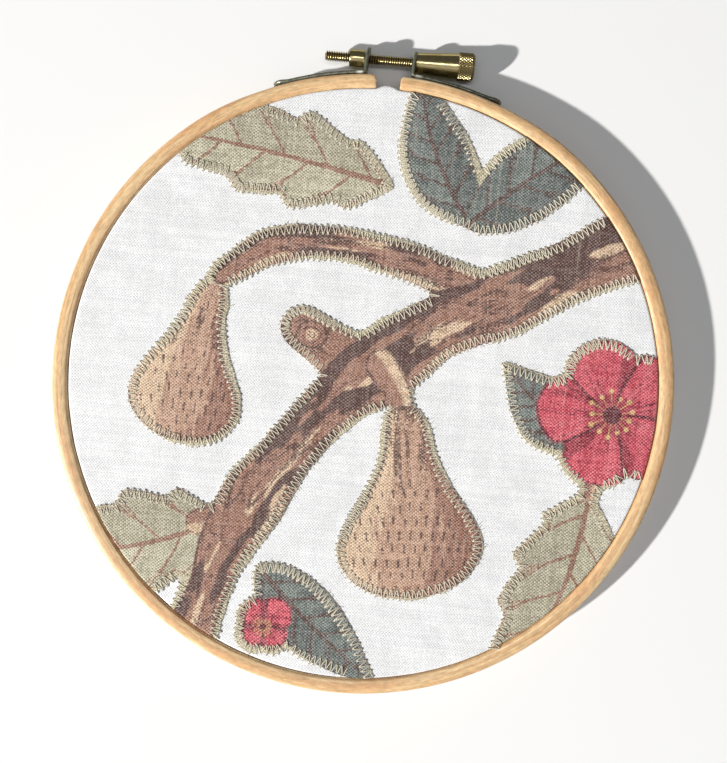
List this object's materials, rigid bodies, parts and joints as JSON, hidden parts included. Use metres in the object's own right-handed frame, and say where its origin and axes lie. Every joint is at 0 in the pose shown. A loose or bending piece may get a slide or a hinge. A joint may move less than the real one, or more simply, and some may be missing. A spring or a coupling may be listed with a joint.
{
  "type": "applique wall hanging in an embroidery hoop",
  "caption": "Round beech embroidery hoop with a brass thumbscrew, holding a stretched white cotton cloth with printed linen cut-outs sewn on by zigzag.",
  "frame": {"origin": "middle of the part's box on the surface it lies on, at the back of the rings", "axes": "+Z out of the face of the cloth, +Y to the split of the outer ring, +X to the head of the thumbscrew"},
  "size_m": [0.1644, 0.1728, 0.0092],
  "materials": {
    "beech": "smooth unpainted beech, satin",
    "white_cotton": "matte plain weave",
    "print_brown": "matte printed linen",
    "print_sage": "matte printed linen",
    "print_slate": "matte printed linen",
    "print_crimson": "matte printed linen",
    "stitch_thread": "spun sewing thread",
    "plated_steel": "dull plated sheet",
    "brass": "turned, slightly tarnished"
  },
  "bodies": {
    "hoop": {"outer_hoop": "beech", "inner_hoop": "beech", "ground_cloth": "white_cotton", "applique_bough": "print_brown", "applique_upper_leaf": "print_sage", "applique_leaf_pair": "print_slate", "applique_blossom_spray": "print_crimson", "applique_lower_leaf": "print_slate", "strap_left": "plated_steel", "strap_right": "plated_steel", "clamp_nut": "brass"},
    "thumbscrew": {"thumbscrew": "brass"}
  },
  "joints": [
    {"name": "screw_turn", "type": "hinge", "parent": "hoop", "child": "thumbscrew", "pos_m": [0, 0.08275, 0.0046], "axis": [1, 0, 0], "continuous": true}
  ]
}
